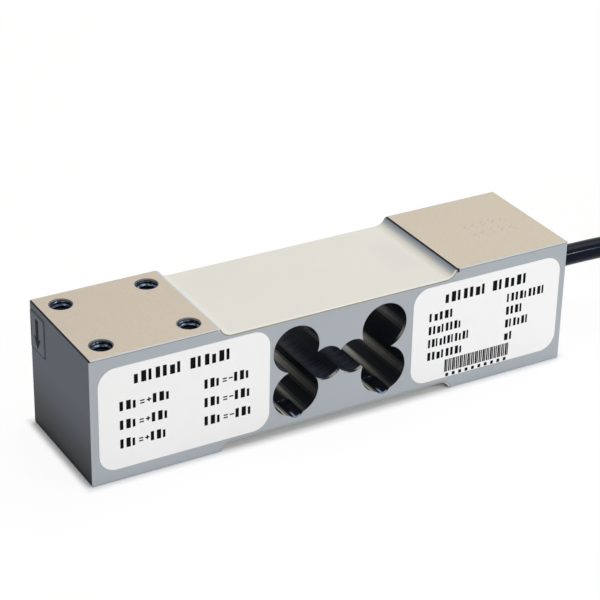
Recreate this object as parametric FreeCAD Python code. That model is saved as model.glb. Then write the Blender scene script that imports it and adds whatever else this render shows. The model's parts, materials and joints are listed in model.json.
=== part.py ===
import FreeCAD, Part
import math
import os

# Single point load cell: a machined aluminium bar with a "dog-bone" of through bores, strain gauges
# under soft potting in its two shallow recesses, and a screened six-core cable out of the fixed end.
#
# Frame, in millimetres: X runs along the bar, from the load end (-X) to the fixed, cable end (+X).
# The labelled front face looks along -Y and Z is up. The origin is the middle of the bar's underside.

# ---- spring element: the bar ----
BAR_LENGTH = 150.0
BAR_WIDTH = 38.1
BAR_HEIGHT = 38.1
EDGE_BREAK = 0.3           # chamfer on the bar's outer edges

RECESS_LENGTH = 75.0       # the stretch between the two mounting pads, cut back above and below
RECESS_DEPTH = 3.0
RECESS_END_RADIUS = 4.0    # the milling cutter's radius, left at both ends of a recess

# ---- spring element: the dog-bone ----
FLEX_BORE_RADIUS = 7.15    # four large bores, which leave the four thin sections
FLEX_BORE_PITCH_X = 27.9
FLEX_BORE_PITCH_Z = 13.5
LOBE_RADIUS = 5.2          # two smaller bores that join them across the middle
LOBE_PITCH = 8.5
JOINING_SLOT_HEIGHT = 3.0  # slot between each pair of large bores and the lobe beside it
TRIM_RADIUS = 2.4          # scallops ground under the lower bores to level the corner readings
TRIM_BITE = 0.9            # how far a scallop goes below its bore
TRIM_REACH = 7.0           # how far it goes in from the front face
TRIM_SHIFT = 0.3           # its offset from the bore's centre line, towards the fixed end

# ---- spring element: tapped holes, M6 ----
TAP_RADIUS = 3.0
TAP_MOUTH_RADIUS = 3.35
TAP_DEPTH = 14.0
TAP_PITCH = 25.4           # the four holes of a pad stand on a square
TAP_EDGE = 6.35            # from the bar's end to the first row
DRILL_POINT_ANGLE = 118.0

# ---- spring element: wire ways ----
CABLE_BORE_HEIGHT = 21.9   # axis of the bore that the cable comes out of
CABLE_BORE_RADIUS = 3.75
BUSH_SEAT_RADIUS = 4.8
BUSH_SEAT_DEPTH = 8.0
DUCT_RADIUS = 2.75         # the upright duct that joins both recesses and the cable bore

# ---- potting ----
POTTING_THICKNESS = 0.7    # it lines the floor and the round ends of a recess
POTTING_TOP_GAP = 0.35     # where it stops, below the pads
POTTING_EDGE_BREAK = 0.35  # along the bar's side faces

# ---- bonded parts, on the floors of the recesses ----
GAUGE_LENGTH = 9.5
GAUGE_WIDTH = 6.4
GAUGE_FILM = 0.08
GAUGE_GRID = 0.06          # grid and solder dots, above the film
GAUGE_TAB = 1.6
COMPENSATOR_LENGTH = 5.0
COMPENSATOR_WIDTH = 4.2
COMPENSATOR_HEIGHT = 0.35
COMPENSATOR_OFFSET_Y = 6.5
BOARD_END_GAP = 1.0        # from the board to the round end of its recess
BOARD_LENGTH = 9.5
BOARD_WIDTH = 16.0
BOARD_THICKNESS = 0.6
BOARD_CORNER = 1.0
LEAD_WIDTH = 0.4           # flat leads from the gauges to the boards
LEAD_HEIGHT = 0.2
LEAD_SPACING = 3.2
LEAD_DETOUR_Y = 9.6        # where the far gauge's leads pass the near gauge
LEAD_STUB = 1.6            # straight stretch at each end of a detoured lead
LEAD_SWING = 3.6           # how far along the bar they take to swing out
CROSSOVER_RADIUS = 0.25    # wires from the lower board to the upper one
CROSSOVER_COUNT = 4
CROSSOVER_PITCH = 0.62
CROSSOVER_SETBACK = 1.7    # from the duct's axis, towards the load end

# ---- labels ----
LABEL_THICKNESS = 0.12
LABEL_CORNER = 5.0
LABEL_END_GAP = 2.2        # from the bar's end
LABEL_TOP_GAP = 3.8        # from the top of the pads
WIRING_LABEL_LENGTH = 50.6
WIRING_LABEL_HEIGHT = 30.6
RATING_LABEL_LENGTH = 49.6
RATING_LABEL_HEIGHT = 30.2
ARROW_LABEL_WIDTH = 9.2
ARROW_LABEL_HEIGHT = 12.0
ARROW_LABEL_TOP_GAP = 2.2
ARROW_LABEL_SIDE_GAP = 0.4
ARROW_LABEL_CORNER = 0.8

# ---- cable ----
CABLE_RADIUS = 3.2
CABLE_LENGTH = 2000.0      # from the bar's end face to the end of the jacket
JACKET_INNER_END = 52.0    # where the jacket ends inside the bar
SEALANT_LENGTH = 13.0      # ring of sealant round the jacket, behind the bush
CORE_RADIUS = 0.5
CORE_ROWS = 3
CORE_PITCH = 1.4           # between the two levels of cores, and between their uprights
CORE_SPREAD = 1.25         # between the rows, across the bar
CORE_BEND = 1.8            # size of the tighter mitred bend, from the bore up into the duct
WIRE_SIDES = 6             # fine wires have flat-sided sections

# ---- cable bush ----
BUSH_FLANGE_RADIUS = 5.4
BUSH_FLANGE_THICKNESS = 1.5
BUSH_NECK_RADIUS = 4.7
BUSH_TIP_RADIUS = 3.9
BUSH_NOSE_LENGTH = 7.0     # beyond the flange

# ---- where the cable lies ----
LEAD_ROUTE = [             # corners of the route from the bar's end, through the bush, to the hank
    (BAR_LENGTH / 2, 0.0, CABLE_BORE_HEIGHT),
    (94.0, 0.0, CABLE_BORE_HEIGHT),
    (114.0, 0.0, 21.0),
    (136.5, -13.0, 21.4),
    (157.0, -13.0, 23.2),
]
FILLET_SHARE = 0.45        # of the shorter run beside a corner goes into that corner's arc

HANK_NEAR_FOLD_X = 157.0   # centre of the fold nearer to the bar
HANK_CENTRE_Y = 12.6
HANK_FOLD_RADIUS = 19.2    # of the inner turns' centre line
HANK_COLUMNS = 2           # turns side by side
HANK_LAYERS = 4            # turns on top of each other; the inner column is one lower
HANK_TURNS = 7
HANK_TAIL = 8.0            # the cable's last stretch, on top of the inner column

# ---- ties round the hank ----
TIE_THICKNESS = 0.8
TIE_WIDTH = 2.6
TIE_HEAD_LENGTH = 5.0
TIE_HEAD_WIDTH = 4.4
TIE_HEAD_HEIGHT = 3.2

# ---- the cable's stripped end ----
SLEEVE_LENGTH = 12.0
SLEEVE_RADIUS = 3.5
SLEEVE_BORE_RADIUS = 2.2
TAIL_CORE_RADIUS = 0.65
TAIL_CORE_CIRCLE = 1.5     # the cores stand round the drain wire in the sleeve
TAIL_CORE_LENGTH = 30.0    # beyond the sleeve
TAIL_CORE_SPLAY = 3.0      # how many times wider the circle of cores is at their ends
TAIL_CORE_DRIFT_Y = 3.0
TAIL_CORE_LIFT = 2.2
TIP_LENGTH = 6.0
TIP_RADIUS = 0.4
DRAIN_RADIUS = 0.45
CORE_COLOURS = ["green", "black", "blue", "white", "red", "brown"]

# ---- worked out from the sizes above ----
CLEAR = 1.0                # how far a cutting body reaches past the face that it opens
MID_HEIGHT = BAR_HEIGHT / 2
TOP_FLOOR = BAR_HEIGHT - RECESS_DEPTH
BAR_END = BAR_LENGTH / 2
FRONT = -BAR_WIDTH / 2
PAD_HOLES_X = BAR_END - TAP_EDGE - TAP_PITCH / 2
DUCT_X = RECESS_LENGTH / 2 - RECESS_END_RADIUS - BOARD_END_GAP - BOARD_LENGTH / 2
CABLE_DIAMETER = 2 * CABLE_RADIUS
HANK_BOTTOM = TIE_THICKNESS
HANK_INNER_RADIUS = HANK_FOLD_RADIUS - CABLE_RADIUS
HANK_OUTER_RADIUS = HANK_INNER_RADIUS + HANK_COLUMNS * CABLE_DIAMETER
HANK_TOP = HANK_BOTTOM + HANK_LAYERS * CABLE_DIAMETER
HANK_SHELF = HANK_TOP - CABLE_DIAMETER
SLEEVE_Y = HANK_CENTRE_Y - HANK_FOLD_RADIUS - CABLE_RADIUS + SLEEVE_RADIUS
SLEEVE_Z = HANK_SHELF + SLEEVE_RADIUS

X_AXIS = FreeCAD.Vector(1, 0, 0)
Y_AXIS = FreeCAD.Vector(0, 1, 0)
Z_AXIS = FreeCAD.Vector(0, 0, 1)


def vec(x, y, z):
    return FreeCAD.Vector(x, y, z)


def block(low, high):
    """A box between two opposite corners."""
    size = [b - a for a, b in zip(low, high)]
    return Part.makeBox(size[0], size[1], size[2], vec(*low))


def turned(profile, origin, axis):
    """A full revolve of a closed (along the axis, radius) profile about an axis through origin."""
    across = Z_AXIS if abs(axis.x) + abs(axis.y) > 0.5 else X_AXIS
    points = [origin + axis * along + across * radius for along, radius in profile]
    face = Part.Face(Part.makePolygon(points + points[:1]))
    return face.revolve(origin, axis, 360)


def mirrored_down(shape):
    """The same shape at the underside of the bar."""
    return shape.mirror(vec(0, 0, MID_HEIGHT), Z_AXIS)


def rounded_plate(x0, x1, z0, z1, corner, thickness):
    """A plate in the XZ plane with round corners, from y = 0 to y = -thickness."""
    corner = min(corner, 0.49 * min(x1 - x0, z1 - z0))
    plate = Part.makeBox(x1 - x0, thickness, z1 - z0, vec(x0, -thickness, z0))
    uprights = [e for e in plate.Edges if abs(e.Vertexes[0].Y - e.Vertexes[1].Y) > thickness / 2]
    return plate.makeFillet(corner, uprights)


def rounded_route(corners):
    """A wire of straight runs and tangent arcs through the corners, with its arcs' radii."""
    corners = [vec(*c) for c in corners]
    edges = []
    radii = []
    start = corners[0]
    for before, corner, after in zip(corners, corners[1:], corners[2:]):
        run_in = corner - before
        run_out = after - corner
        trim = FILLET_SHARE * min(run_in.Length, run_out.Length)
        half_turn = run_in.getAngle(run_out) / 2
        radius = trim / math.tan(half_turn)
        arc_start = corner - run_in.normalize() * trim
        arc_end = corner + run_out.normalize() * trim
        inward = (arc_start + arc_end) * 0.5 - corner
        reach = radius / math.cos(half_turn) - radius
        arc_middle = corner + inward.normalize() * reach
        edges.append(Part.LineSegment(start, arc_start).toShape())
        edges.append(Part.Arc(arc_start, arc_middle, arc_end).toShape())
        radii.append(radius)
        start = arc_end
    edges.append(Part.LineSegment(start, corners[-1]).toShape())
    return Part.Wire(edges), radii


def tube_along(corners, radius):
    """A round solid swept along the rounded route through the corners."""
    route, radii = rounded_route(corners)
    first = vec(*corners[0])
    heading = vec(*corners[1]) - first
    ring = Part.Wire(Part.makeCircle(radius, first, heading))
    return route.makePipeShell([ring], True, True), route.Length, radii


def wire_section(start, heading, radius):
    """The flat-sided outline of a fine wire, square to its heading."""
    along = vec(*heading).normalize()
    across = along.cross(Y_AXIS).normalize()
    beside = along.cross(across)
    turns = [2 * math.pi * k / WIRE_SIDES for k in range(WIRE_SIDES)]
    points = [
        start + across * (radius * math.cos(turn)) + beside * (radius * math.sin(turn))
        for turn in turns
    ]
    return Part.makePolygon(points + points[:1])


def straight_wire(start, heading, length, radius):
    """A straight piece of fine wire."""
    along = vec(*heading).normalize()
    return Part.Face(wire_section(start, along, radius)).extrude(along * length)


def floor_ribbon(points, width, height):
    """A flat lead on the upper recess floor, mitred where it bends."""
    path = [vec(x, y, TOP_FLOOR) for x, y in points]
    runs = [(b - a).normalize() for a, b in zip(path, path[1:])]
    sides = [vec(-run.y, run.x, 0) for run in runs]
    left = []
    right = []
    for place, before, after in zip(path, sides[:1] + sides, sides + sides[-1:]):
        mitre = (before + after) * (width / 2 / (1 + before.dot(after)))
        left.append(place + mitre)
        right.append(place - mitre)
    outline = left + right[::-1]
    return Part.Face(Part.makePolygon(outline + outline[:1])).extrude(Z_AXIS * height)


# ---- spring element ----

def recess_body(lining=0.0):
    """What the cutter takes out of the top of the bar between its pads, less a lining of its floor and ends."""
    rise = min(RECESS_END_RADIUS, RECESS_DEPTH)
    centre_z = TOP_FLOOR + RECESS_END_RADIUS
    centre_x = RECESS_LENGTH / 2 - math.sqrt(RECESS_END_RADIUS ** 2 - (RECESS_END_RADIUS - rise) ** 2)
    radius = RECESS_END_RADIUS - lining
    floor_z = centre_z - radius
    end_z = TOP_FLOOR + rise
    end_x = centre_x + math.sqrt(radius ** 2 - (centre_z - end_z) ** 2)
    sweep = math.atan2(end_x - centre_x, centre_z - end_z) / 2
    middle_x = centre_x + radius * math.sin(sweep)
    middle_z = centre_z - radius * math.cos(sweep)
    top = BAR_HEIGHT + CLEAR

    def point(x, z):
        return vec(x, FRONT - CLEAR, z)

    edges = [
        Part.LineSegment(point(-end_x, top), point(end_x, top)).toShape(),
        Part.LineSegment(point(end_x, top), point(end_x, end_z)).toShape(),
        Part.Arc(point(end_x, end_z), point(middle_x, middle_z), point(centre_x, floor_z)).toShape(),
        Part.LineSegment(point(centre_x, floor_z), point(-centre_x, floor_z)).toShape(),
        Part.Arc(point(-centre_x, floor_z), point(-middle_x, middle_z), point(-end_x, end_z)).toShape(),
        Part.LineSegment(point(-end_x, end_z), point(-end_x, top)).toShape(),
    ]
    return Part.Face(Part.Wire(edges)).extrude(vec(0, BAR_WIDTH + 2 * CLEAR, 0))


def cross_bore(x, z, radius):
    """A bore right through the bar, from front to back."""
    return Part.makeCylinder(radius, BAR_WIDTH + 2 * CLEAR, vec(x, FRONT - CLEAR, z), Y_AXIS)


def dog_bone():
    """The through bores that leave the bar's four thin sections."""
    bores = [
        cross_bore(side * LOBE_PITCH / 2, MID_HEIGHT, LOBE_RADIUS) for side in (-1, 1)
    ]
    for side in (-1, 1):
        for level in (-1, 1):
            x = side * FLEX_BORE_PITCH_X / 2
            z = MID_HEIGHT + level * FLEX_BORE_PITCH_Z / 2
            bores.append(cross_bore(x, z, FLEX_BORE_RADIUS))
        x0, x1 = sorted((side * FLEX_BORE_PITCH_X / 2, side * LOBE_PITCH / 2))
        bores.append(block(
            (x0, FRONT - CLEAR, MID_HEIGHT - JOINING_SLOT_HEIGHT / 2),
            (x1, CLEAR - FRONT, MID_HEIGHT + JOINING_SLOT_HEIGHT / 2),
        ))
    return bores


def trim_scallop(side):
    """A ball-ended groove ground into the floor of a lower bore, in from the front face."""
    x = side * FLEX_BORE_PITCH_X / 2 + TRIM_SHIFT
    bore_floor = MID_HEIGHT - FLEX_BORE_PITCH_Z / 2 - FLEX_BORE_RADIUS
    z = bore_floor - TRIM_BITE + TRIM_RADIUS
    shank = Part.makeCylinder(TRIM_RADIUS, TRIM_REACH + CLEAR, vec(x, FRONT - CLEAR, z), Y_AXIS)
    ball = Part.makeSphere(TRIM_RADIUS, vec(x, FRONT + TRIM_REACH, z))
    return shank.fuse(ball)


def tapped_hole(x, y):
    """A blind hole down from the top of the bar: chamfered mouth, wall and drill point."""
    chamfer = TAP_MOUTH_RADIUS - TAP_RADIUS
    point = TAP_RADIUS / math.tan(math.radians(DRILL_POINT_ANGLE / 2))
    profile = [
        (-CLEAR, 0),
        (-CLEAR, TAP_MOUTH_RADIUS),
        (0, TAP_MOUTH_RADIUS),
        (chamfer, TAP_RADIUS),
        (TAP_DEPTH, TAP_RADIUS),
        (TAP_DEPTH + point, 0),
    ]
    return turned(profile, vec(x, y, BAR_HEIGHT), -Z_AXIS)


def pad_holes(pad_x):
    """The square of four tapped holes round the middle of a pad."""
    half = TAP_PITCH / 2
    return [tapped_hole(pad_x + dx, dy) for dx in (-half, half) for dy in (-half, half)]


def wire_ways():
    """The cable bore with its bush seat, and the duct between the recesses."""
    bore_start = vec(DUCT_X, 0, CABLE_BORE_HEIGHT)
    bore = Part.makeCylinder(CABLE_BORE_RADIUS, BAR_END - DUCT_X + CLEAR, bore_start, X_AXIS)
    seat_start = vec(BAR_END - BUSH_SEAT_DEPTH, 0, CABLE_BORE_HEIGHT)
    seat = Part.makeCylinder(BUSH_SEAT_RADIUS, BUSH_SEAT_DEPTH + CLEAR, seat_start, X_AXIS)
    duct = Part.makeCylinder(DUCT_RADIUS, BAR_HEIGHT, vec(DUCT_X, 0, 0), Z_AXIS)
    return [bore, seat, duct]


def spring_element():
    bar = block((-BAR_END, FRONT, 0), (BAR_END, -FRONT, BAR_HEIGHT))
    bar = bar.makeChamfer(EDGE_BREAK, bar.Edges)
    recess = recess_body()
    cuts = [recess, mirrored_down(recess)]
    cuts += dog_bone()
    cuts += [trim_scallop(side) for side in (-1, 1)]
    cuts += pad_holes(-PAD_HOLES_X)
    cuts += [mirrored_down(hole) for hole in pad_holes(PAD_HOLES_X)]
    cuts += wire_ways()
    return bar.cut(cuts).removeSplitter()


# ---- bonded parts and wiring, built on the upper floor and mirrored for the lower one ----

def strain_gauge(side):
    """A foil gauge over one thin section: film, grid and two solder tabs."""
    x = side * FLEX_BORE_PITCH_X / 2
    half_length = GAUGE_LENGTH / 2
    half_width = GAUGE_WIDTH / 2
    grid_z = TOP_FLOOR + GAUGE_FILM
    film = block((x - half_length, -half_width, TOP_FLOOR), (x + half_length, half_width, grid_z))
    parts = []
    margin = (GAUGE_LENGTH - GAUGE_TAB) / 8
    parts.append(block(
        (x - half_length + margin, -half_width + margin, grid_z),
        (x + half_length - GAUGE_TAB - margin, half_width - margin, grid_z + GAUGE_GRID),
    ))
    for row in (-1, 1):
        centre_y = row * LEAD_SPACING / 2
        parts.append(block(
            (x + half_length - GAUGE_TAB, centre_y - GAUGE_TAB / 2, grid_z),
            (x + half_length, centre_y + GAUGE_TAB / 2, grid_z + GAUGE_GRID),
        ))
    return film.multiFuse(parts).removeSplitter()


def compensator(row):
    """A foil resistor bonded over the solid middle of the bar, where nothing strains."""
    y = row * COMPENSATOR_OFFSET_Y
    body = block(
        (-COMPENSATOR_LENGTH / 2, y - COMPENSATOR_WIDTH / 2, TOP_FLOOR),
        (COMPENSATOR_LENGTH / 2, y + COMPENSATOR_WIDTH / 2, TOP_FLOOR + COMPENSATOR_HEIGHT),
    )
    return body


def core_places():
    """(y, level) of the six cores: three rows across the bar, at two levels."""
    rows = [(k - (CORE_ROWS - 1) / 2) * CORE_SPREAD for k in range(CORE_ROWS)]
    return [(y, level) for level in (0, 1) for y in rows]


def core_upright(level):
    """Where a core's upright stands along the bar, and its height in the cable bore."""
    inner_x = DUCT_X + CORE_PITCH + CORE_RADIUS / 4
    inner_z = CABLE_BORE_HEIGHT + CORE_PITCH / 2
    return inner_x - level * CORE_PITCH, inner_z - level * CORE_PITCH


def terminal_board():
    """The solder board over the duct, with a hole for each core of the cable."""
    x0 = DUCT_X - BOARD_LENGTH / 2
    board = block(
        (x0, -BOARD_WIDTH / 2, TOP_FLOOR),
        (x0 + BOARD_LENGTH, BOARD_WIDTH / 2, TOP_FLOOR + BOARD_THICKNESS),
    )
    uprights = [e for e in board.Edges if abs(e.Vertexes[0].Z - e.Vertexes[1].Z) > 0.01]
    return board.makeFillet(BOARD_CORNER, uprights)


def upper_board():
    """The upper board, with a window over the duct that the cable's cores come up through."""
    half_width = (CORE_ROWS - 1) / 2 * CORE_SPREAD + CORE_RADIUS
    low = (core_upright(1)[0] - CORE_RADIUS, -half_width, TOP_FLOOR - CLEAR)
    high = (core_upright(0)[0] + CORE_RADIUS, half_width, TOP_FLOOR + BOARD_THICKNESS + CLEAR)
    return terminal_board().cut(block(low, high))


def gauge_leads():
    """Two flat leads from each gauge to the board, lying on the recess floor."""
    board_x = DUCT_X - BOARD_LENGTH / 2
    near_x = FLEX_BORE_PITCH_X / 2 + GAUGE_LENGTH / 2
    far_x = GAUGE_LENGTH / 2 - FLEX_BORE_PITCH_X / 2
    leads = []
    for row in (-1, 1):
        y = row * LEAD_SPACING / 2
        board_y = row * (BOARD_WIDTH / 2 - BOARD_CORNER - LEAD_WIDTH)
        detour_y = row * LEAD_DETOUR_Y
        near_route = [(near_x, y), (board_x, y)]
        far_route = [
            (far_x, y),
            (far_x + LEAD_STUB, y),
            (far_x + LEAD_STUB + LEAD_SWING, detour_y),
            (near_x, detour_y),
            (board_x - LEAD_STUB, board_y),
            (board_x, board_y),
        ]
        leads += [floor_ribbon(route, LEAD_WIDTH, LEAD_HEIGHT) for route in (near_route, far_route)]
    return Part.makeCompound(leads)


def crossover_wires():
    """Wires up the duct, from the lower board to the upper one."""
    x = DUCT_X - CROSSOVER_SETBACK
    first = -(CROSSOVER_COUNT - 1) * CROSSOVER_PITCH / 2
    places = [vec(x, first + k * CROSSOVER_PITCH, RECESS_DEPTH) for k in range(CROSSOVER_COUNT)]
    height = TOP_FLOOR - RECESS_DEPTH
    wires = [straight_wire(place, Z_AXIS, height, CROSSOVER_RADIUS) for place in places]
    return Part.makeCompound(wires)


def inner_cores():
    """The cable's cores from the end of the jacket, along the bore and up through the board."""
    bend_x = core_upright(0)[0] + CORE_BEND
    bend_z = core_upright(0)[1] + CORE_BEND
    cores = []
    for y, level in core_places():
        x, z = core_upright(level)
        start = vec(JACKET_INNER_END, y, z)
        route = Part.makePolygon([
            start,
            vec(bend_x, y, z),
            vec(x, y, bend_z),
            vec(x, y, TOP_FLOOR + BOARD_THICKNESS),
        ])
        section = wire_section(start, -X_AXIS, CORE_RADIUS)
        cores.append(route.makePipeShell([section], True, True, 1))
    return Part.makeCompound(cores)


def potting(buried):
    """Soft potting that lines one recess up to its pads, level with the bar's sides, round the parts in it."""
    inside = recess_body(POTTING_THICKNESS)
    lining = recess_body().cut(inside)
    reach = block((-BAR_END, FRONT, 0), (BAR_END, -FRONT, BAR_HEIGHT - POTTING_TOP_GAP))
    lining = lining.common(reach)
    rims = []
    for edge in lining.Edges:
        middle = edge.valueAt((edge.FirstParameter + edge.LastParameter) / 2)
        at_side = abs(abs(middle.y) + FRONT) < 0.001
        if at_side and inside.distToShape(Part.Vertex(middle))[0] < 0.001:
            rims.append(edge)
    return lining.makeChamfer(POTTING_EDGE_BREAK, rims).cut(buried)


# ---- labels ----

def front_label(x0, length, height):
    top = BAR_HEIGHT - LABEL_TOP_GAP
    plate = rounded_plate(x0, x0 + length, top - height, top, LABEL_CORNER, LABEL_THICKNESS)
    return plate.translated(vec(0, FRONT, 0))


def arrow_label():
    """The small sticker on the load end, at its upper back corner."""
    right = -FRONT - ARROW_LABEL_SIDE_GAP
    top = BAR_HEIGHT - ARROW_LABEL_TOP_GAP
    plate = rounded_plate(
        -right, ARROW_LABEL_WIDTH - right, top - ARROW_LABEL_HEIGHT, top,
        ARROW_LABEL_CORNER, LABEL_THICKNESS,
    )
    plate.rotate(vec(0, 0, 0), Z_AXIS, -90)
    return plate.translated(vec(-BAR_END, 0, 0))


# ---- cable, bush and sealant ----

def cable_bush():
    """The rubber bush in the end of the bar: seat, flange and a tapered nose."""
    flange_end = BUSH_FLANGE_THICKNESS
    nose_end = flange_end + BUSH_NOSE_LENGTH
    profile = [
        (-BUSH_SEAT_DEPTH, CABLE_RADIUS),
        (-BUSH_SEAT_DEPTH, BUSH_SEAT_RADIUS),
        (0, BUSH_SEAT_RADIUS),
        (0, BUSH_FLANGE_RADIUS),
        (flange_end, BUSH_FLANGE_RADIUS),
        (flange_end, BUSH_NECK_RADIUS),
        (nose_end, BUSH_TIP_RADIUS),
        (nose_end, CABLE_RADIUS),
    ]
    return turned(profile, vec(BAR_END, 0, CABLE_BORE_HEIGHT), X_AXIS)


def inner_cable():
    """The jacketed cable inside the bar."""
    start = vec(JACKET_INNER_END, 0, CABLE_BORE_HEIGHT)
    return Part.makeCylinder(CABLE_RADIUS, BAR_END - JACKET_INNER_END, start, X_AXIS)


def bore_sealant():
    """A ring of sealant between the jacket and the bore, up to the bush."""
    start = vec(BAR_END - BUSH_SEAT_DEPTH - SEALANT_LENGTH, 0, CABLE_BORE_HEIGHT)
    ring = Part.makeCylinder(CABLE_BORE_RADIUS, SEALANT_LENGTH, start, X_AXIS)
    return ring.cut(Part.makeCylinder(CABLE_RADIUS, SEALANT_LENGTH, start, X_AXIS))


def hank_run(lead_length):
    """The straight length of each side of the hank, which its turns need for the whole cable."""
    inner_turns = HANK_LAYERS - 1
    outer_turns = HANK_TURNS - inner_turns
    outer_radius = HANK_FOLD_RADIUS + CABLE_DIAMETER
    folds = 2 * math.pi * (inner_turns * HANK_FOLD_RADIUS + outer_turns * outer_radius)
    return (CABLE_LENGTH - lead_length - HANK_TAIL - folds) / (2 * HANK_TURNS)


def oval(radius, run, z0, z1):
    """A block with two straight sides and two round ends, round the hank's middle."""
    near = HANK_NEAR_FOLD_X
    far = near + run
    left = HANK_CENTRE_Y + radius
    right = HANK_CENTRE_Y - radius
    edges = [
        Part.LineSegment(vec(near, left, z0), vec(far, left, z0)).toShape(),
        Part.Arc(vec(far, left, z0), vec(far + radius, HANK_CENTRE_Y, z0),
                 vec(far, right, z0)).toShape(),
        Part.LineSegment(vec(far, right, z0), vec(near, right, z0)).toShape(),
        Part.Arc(vec(near, right, z0), vec(near - radius, HANK_CENTRE_Y, z0),
                 vec(near, left, z0)).toShape(),
    ]
    return Part.Face(Part.Wire(edges)).extrude(vec(0, 0, z1 - z0))


def cable_hank(run):
    """The hank's outer shape: two columns of turns, and the last one's end on the lower column."""
    middle = HANK_OUTER_RADIUS - CABLE_DIAMETER
    body = oval(HANK_OUTER_RADIUS, run, HANK_BOTTOM, HANK_TOP)
    window = oval(HANK_INNER_RADIUS, run, HANK_BOTTOM - CLEAR, HANK_TOP + CLEAR)
    shelf = oval(middle, run, HANK_SHELF, HANK_TOP + CLEAR)
    kept_low = vec(HANK_NEAR_FOLD_X, HANK_CENTRE_Y - middle, HANK_SHELF)
    tail = Part.makeBox(HANK_TAIL, middle, CABLE_DIAMETER, kept_low)
    fold_low = vec(HANK_NEAR_FOLD_X - middle, HANK_CENTRE_Y - middle, HANK_SHELF)
    fold = Part.makeBox(middle, 2 * middle, CABLE_DIAMETER, fold_low)
    shelf = shelf.cut([tail, fold])
    return body.cut([window, shelf]).removeSplitter()


def cable_lead(hank):
    """The cable from the bar's end to the hank."""
    tube, length, radii = tube_along(LEAD_ROUTE, CABLE_RADIUS)
    section = math.pi * CABLE_RADIUS ** 2
    print("lead length %.1f mm, bend radii %s mm" % (length, [round(r, 1) for r in radii]))
    print("lead volume is %.4f of section x length" % (tube.Volume / (section * length)))
    return tube.cut([hank])


def tie(x, side, inner_top):
    """A nylon tie round one side of the hank, with its head in the window."""
    outer = HANK_CENTRE_Y + side * HANK_OUTER_RADIUS
    middle = outer - side * CABLE_DIAMETER
    inner = HANK_CENTRE_Y + side * HANK_INNER_RADIUS
    x0 = x - TIE_WIDTH / 2
    corners = [
        vec(x0, outer, HANK_BOTTOM),
        vec(x0, outer, HANK_TOP),
        vec(x0, middle, HANK_TOP),
        vec(x0, inner, inner_top),
        vec(x0, inner, HANK_BOTTOM),
    ]
    bundle = Part.makePolygon(corners + corners[:1])
    inside = Part.Face(bundle)
    outside = inside.makeOffset2D(TIE_THICKNESS)
    band = outside.cut(inside).extrude(vec(TIE_WIDTH, 0, 0))
    face_y = inner - side * TIE_THICKNESS
    head_z = (HANK_BOTTOM + HANK_SHELF) / 2
    y0, y1 = sorted((face_y, face_y - side * TIE_HEAD_HEIGHT))
    head = block(
        (x - TIE_HEAD_WIDTH / 2, y0, head_z - TIE_HEAD_LENGTH / 2),
        (x + TIE_HEAD_WIDTH / 2, y1, head_z + TIE_HEAD_LENGTH / 2),
    )
    return band.fuse(head).removeSplitter()


# ---- the stripped end ----

def sleeve():
    """Heat-shrink sleeve round the cores, against the end of the jacket."""
    start = vec(HANK_NEAR_FOLD_X + HANK_TAIL, SLEEVE_Y, SLEEVE_Z)
    outside = Part.makeCylinder(SLEEVE_RADIUS, SLEEVE_LENGTH, start, X_AXIS)
    return outside.cut(Part.makeCylinder(SLEEVE_BORE_RADIUS, SLEEVE_LENGTH, start, X_AXIS))


def splayed_wire(offset_y, offset_z, radius):
    """A wire out of the sleeve, which spreads away from the others. Its tip carries on from it."""
    x0 = HANK_NEAR_FOLD_X + HANK_TAIL
    bend_x = x0 + SLEEVE_LENGTH + TAIL_CORE_LENGTH / 5
    end_x = x0 + SLEEVE_LENGTH + TAIL_CORE_LENGTH
    end_y = SLEEVE_Y + TAIL_CORE_SPLAY * offset_y + TAIL_CORE_DRIFT_Y
    end_z = SLEEVE_Z + TAIL_CORE_SPLAY * offset_z + TAIL_CORE_LIFT
    corners = [
        (x0, SLEEVE_Y + offset_y, SLEEVE_Z + offset_z),
        (bend_x, SLEEVE_Y + offset_y, SLEEVE_Z + offset_z),
        (end_x, end_y, end_z),
    ]
    section = wire_section(vec(*corners[0]), X_AXIS, radius)
    wire = rounded_route(corners)[0].makePipeShell([section], True, True)
    heading = vec(*corners[2]) - vec(*corners[1])
    tip = straight_wire(vec(*corners[2]), heading, TIP_LENGTH, TIP_RADIUS)
    return wire, tip


def stripped_cores():
    """The six cores by colour, their bared tips and the drain wire in their middle."""
    wires = {}
    tips = []
    for k, colour in enumerate(CORE_COLOURS):
        angle = 2 * math.pi * k / len(CORE_COLOURS)
        offset_y = TAIL_CORE_CIRCLE * math.cos(angle)
        offset_z = TAIL_CORE_CIRCLE * math.sin(angle)
        wires["core_" + colour], tip = splayed_wire(offset_y, offset_z, TAIL_CORE_RADIUS)
        tips.append(tip)
    wires["drain_wire"] = splayed_wire(0.0, 0.0, DRAIN_RADIUS)[0]
    wires["core_tips"] = Part.makeCompound(tips)
    return wires


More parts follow.
